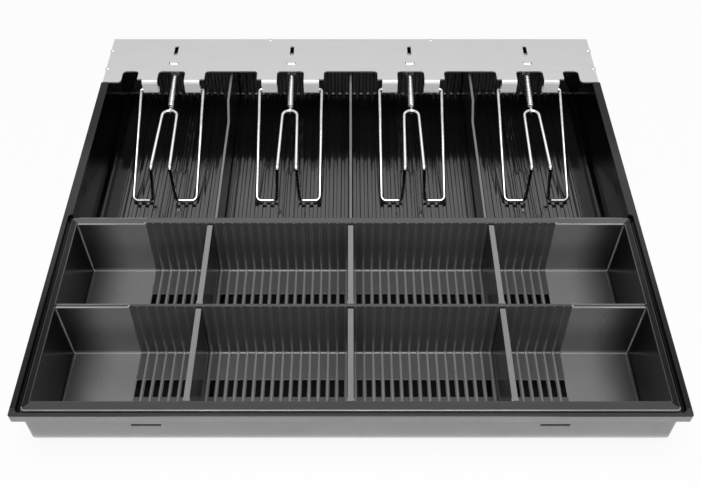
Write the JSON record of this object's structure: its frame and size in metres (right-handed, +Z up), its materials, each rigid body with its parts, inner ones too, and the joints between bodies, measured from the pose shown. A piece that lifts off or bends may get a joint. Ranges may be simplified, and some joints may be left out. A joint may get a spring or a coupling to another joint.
{
  "type": "cash drawer insert",
  "caption": "Black plastic cash drawer insert with a lift-out coin tray, movable dividers, and sprung wire bill clips on a steel rear plate.",
  "frame": {"origin": "centre of the whole insert's footprint, on the surface it rests on", "axes": "+X to the right seen from the cashier, +Y to the rear where the clips are hinged, +Z up"},
  "size_m": [0.37, 0.334, 0.0508],
  "materials": {
    "tray_plastic": "gloss black moulded ABS",
    "coin_tray_plastic": "gloss black moulded ABS",
    "divider_plastic": "gloss black moulded ABS",
    "plate_steel": "satin zinc-plated sheet steel",
    "clip_wire": "bright chrome-plated wire",
    "spring_wire": "bright zinc-plated spring wire"
  },
  "bodies": {
    "base": {"tray": "tray_plastic", "clip_plate": "plate_steel"},
    "coin_tray": {"coin_tray": "coin_tray_plastic"},
    "coin_divider_front_left": {"coin_divider_front_left": "divider_plastic"},
    "coin_divider_front_centre": {"coin_divider_front_centre": "divider_plastic"},
    "coin_divider_front_right": {"coin_divider_front_right": "divider_plastic"},
    "coin_divider_rear_left": {"coin_divider_rear_left": "divider_plastic"},
    "coin_divider_rear_centre": {"coin_divider_rear_centre": "divider_plastic"},
    "coin_divider_rear_right": {"coin_divider_rear_right": "divider_plastic"},
    "bill_divider_left": {"bill_divider_left": "divider_plastic"},
    "bill_divider_centre": {"bill_divider_centre": "divider_plastic"},
    "bill_divider_right": {"bill_divider_right": "divider_plastic"},
    "bill_clip_1": {"bill_clip_1": "clip_wire"},
    "bill_clip_2": {"bill_clip_2": "clip_wire"},
    "bill_clip_3": {"bill_clip_3": "clip_wire"},
    "bill_clip_4": {"bill_clip_4": "clip_wire"},
    "clip_spring_1": {"clip_spring_1": "spring_wire"},
    "clip_spring_2": {"clip_spring_2": "spring_wire"},
    "clip_spring_3": {"clip_spring_3": "spring_wire"},
    "clip_spring_4": {"clip_spring_4": "spring_wire"}
  },
  "joints": [
    {"name": "coin_tray_lift", "type": "slide", "parent": "base", "child": "coin_tray", "axis": [0, 0, 1], "range_m": [0, 0.06]},
    {"name": "coin_divider_front_left_lift", "type": "slide", "parent": "coin_tray", "child": "coin_divider_front_left", "axis": [0, 0, 1], "range_m": [0, 0.048]},
    {"name": "coin_divider_front_centre_lift", "type": "slide", "parent": "coin_tray", "child": "coin_divider_front_centre", "axis": [0, 0, 1], "range_m": [0, 0.048]},
    {"name": "coin_divider_front_right_lift", "type": "slide", "parent": "coin_tray", "child": "coin_divider_front_right", "axis": [0, 0, 1], "range_m": [0, 0.048]},
    {"name": "coin_divider_rear_left_lift", "type": "slide", "parent": "coin_tray", "child": "coin_divider_rear_left", "axis": [0, 0, 1], "range_m": [0, 0.048]},
    {"name": "coin_divider_rear_centre_lift", "type": "slide", "parent": "coin_tray", "child": "coin_divider_rear_centre", "axis": [0, 0, 1], "range_m": [0, 0.048]},
    {"name": "coin_divider_rear_right_lift", "type": "slide", "parent": "coin_tray", "child": "coin_divider_rear_right", "axis": [0, 0, 1], "range_m": [0, 0.048]},
    {"name": "bill_divider_left_lift", "type": "slide", "parent": "base", "child": "bill_divider_left", "axis": [0, 0, 1], "range_m": [0, 0.004]},
    {"name": "bill_divider_centre_lift", "type": "slide", "parent": "base", "child": "bill_divider_centre", "axis": [0, 0, 1], "range_m": [0, 0.004]},
    {"name": "bill_divider_right_lift", "type": "slide", "parent": "base", "child": "bill_divider_right", "axis": [0, 0, 1], "range_m": [0, 0.004]},
    {"name": "bill_clip_1_swing", "type": "hinge", "parent": "base", "child": "bill_clip_1", "pos_m": [-0.134, 0.1171, 0.0404], "axis": [-1, 0, 0], "range_deg": [0, 75], "stiffness_Nm_per_rad": 0.1, "springref_deg": -45.84, "deforming": ["clip_spring_1"]},
    {"name": "clip_spring_1_swing", "type": "hinge", "parent": "base", "child": "clip_spring_1", "pos_m": [-0.134, 0.1354, 0.042], "axis": [-1, 0, 0], "range_deg": [0, 39]},
    {"name": "bill_clip_2_swing", "type": "hinge", "parent": "base", "child": "bill_clip_2", "pos_m": [-0.045, 0.1171, 0.0404], "axis": [-1, 0, 0], "range_deg": [0, 75], "stiffness_Nm_per_rad": 0.1, "springref_deg": -45.84, "deforming": ["clip_spring_2"]},
    {"name": "clip_spring_2_swing", "type": "hinge", "parent": "base", "child": "clip_spring_2", "pos_m": [-0.045, 0.1354, 0.042], "axis": [-1, 0, 0], "range_deg": [0, 39]},
    {"name": "bill_clip_3_swing", "type": "hinge", "parent": "base", "child": "bill_clip_3", "pos_m": [0.045, 0.1171, 0.0404], "axis": [-1, 0, 0], "range_deg": [0, 75], "stiffness_Nm_per_rad": 0.1, "springref_deg": -45.84, "deforming": ["clip_spring_3"]},
    {"name": "clip_spring_3_swing", "type": "hinge", "parent": "base", "child": "clip_spring_3", "pos_m": [0.045, 0.1354, 0.042], "axis": [-1, 0, 0], "range_deg": [0, 39]},
    {"name": "bill_clip_4_swing", "type": "hinge", "parent": "base", "child": "bill_clip_4", "pos_m": [0.134, 0.1171, 0.0404], "axis": [-1, 0, 0], "range_deg": [0, 75], "stiffness_Nm_per_rad": 0.1, "springref_deg": -45.84, "deforming": ["clip_spring_4"]},
    {"name": "clip_spring_4_swing", "type": "hinge", "parent": "base", "child": "clip_spring_4", "pos_m": [0.134, 0.1354, 0.042], "axis": [-1, 0, 0], "range_deg": [0, 39]}
  ],
  "couplings": [
    {"joint": "clip_spring_1_swing", "follows": "bill_clip_1_swing", "ratio": 0.5076},
    {"joint": "clip_spring_2_swing", "follows": "bill_clip_2_swing", "ratio": 0.5076},
    {"joint": "clip_spring_3_swing", "follows": "bill_clip_3_swing", "ratio": 0.5076},
    {"joint": "clip_spring_4_swing", "follows": "bill_clip_4_swing", "ratio": 0.5076}
  ]
}
